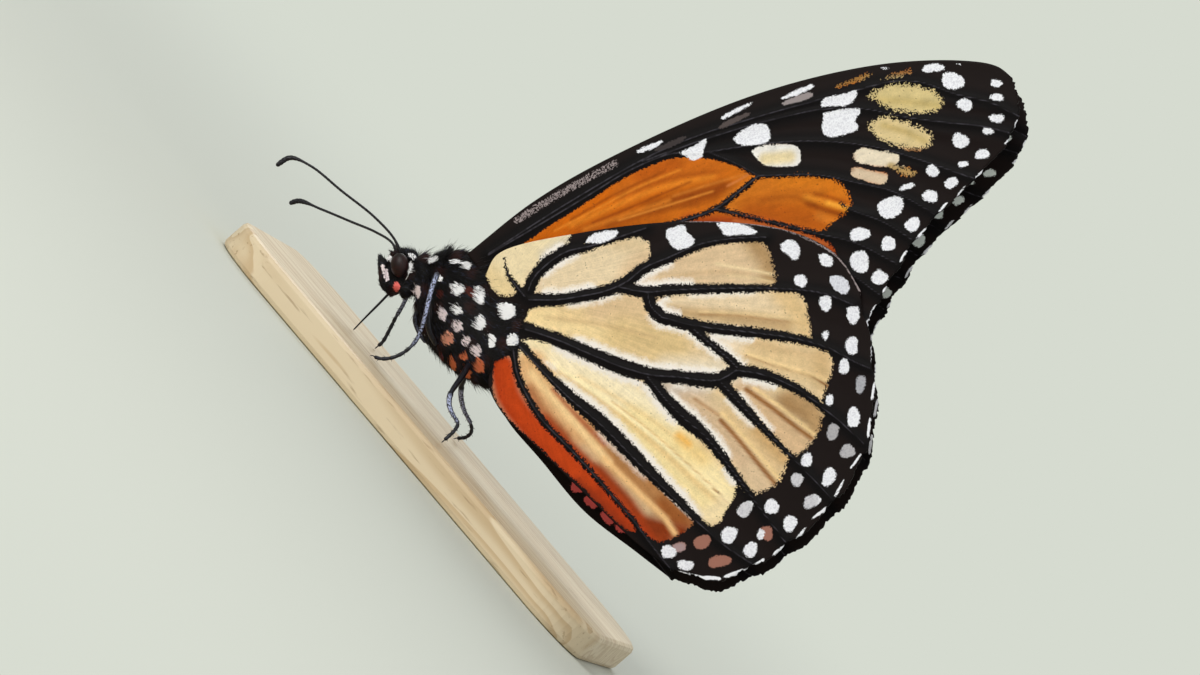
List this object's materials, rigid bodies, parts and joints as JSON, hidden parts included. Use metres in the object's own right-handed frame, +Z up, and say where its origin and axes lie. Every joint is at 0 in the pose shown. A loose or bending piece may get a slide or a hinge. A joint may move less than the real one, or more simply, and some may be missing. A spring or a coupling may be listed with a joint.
{
  "type": "monarch butterfly, still model",
  "caption": "Life-size still model of a monarch butterfly standing with closed, upright wings on a plain flat base.",
  "frame": {"origin": "middle of the model's outer box, on the underside of the base", "axes": "+Z up from the base; +X from the head towards the tail; +Y to the butterfly's right"},
  "size_m": [0.0574, 0.034, 0.0636],
  "materials": {
    "base": "pale close-grained wood, satin",
    "body_scales": "black hair scales with white and orange tufts",
    "eyes": "dark brown, wet gloss",
    "limbs": "black chitin with a grey-blue sheen",
    "forewings": "orange scales, black veins and border, white spots",
    "hindwings": "tan scales, black veins and border, white spots"
  },
  "bodies": {
    "root": {"stand_base": "base", "head": "body_scales", "thorax": "body_scales", "abdomen": "body_scales", "proboscis": "limbs", "eye_left": "eyes", "eye_right": "eyes", "palp_left": "body_scales", "palp_right": "body_scales", "antenna_left": "limbs", "antenna_right": "limbs", "foreleg_left": "limbs", "foreleg_right": "limbs", "midleg_left": "limbs", "midleg_right": "limbs", "hindleg_left": "limbs", "hindleg_right": "limbs", "forewing_left": "forewings", "forewing_right": "forewings", "hindwing_left": "hindwings", "hindwing_right": "hindwings"}
  },
  "joints": []
}
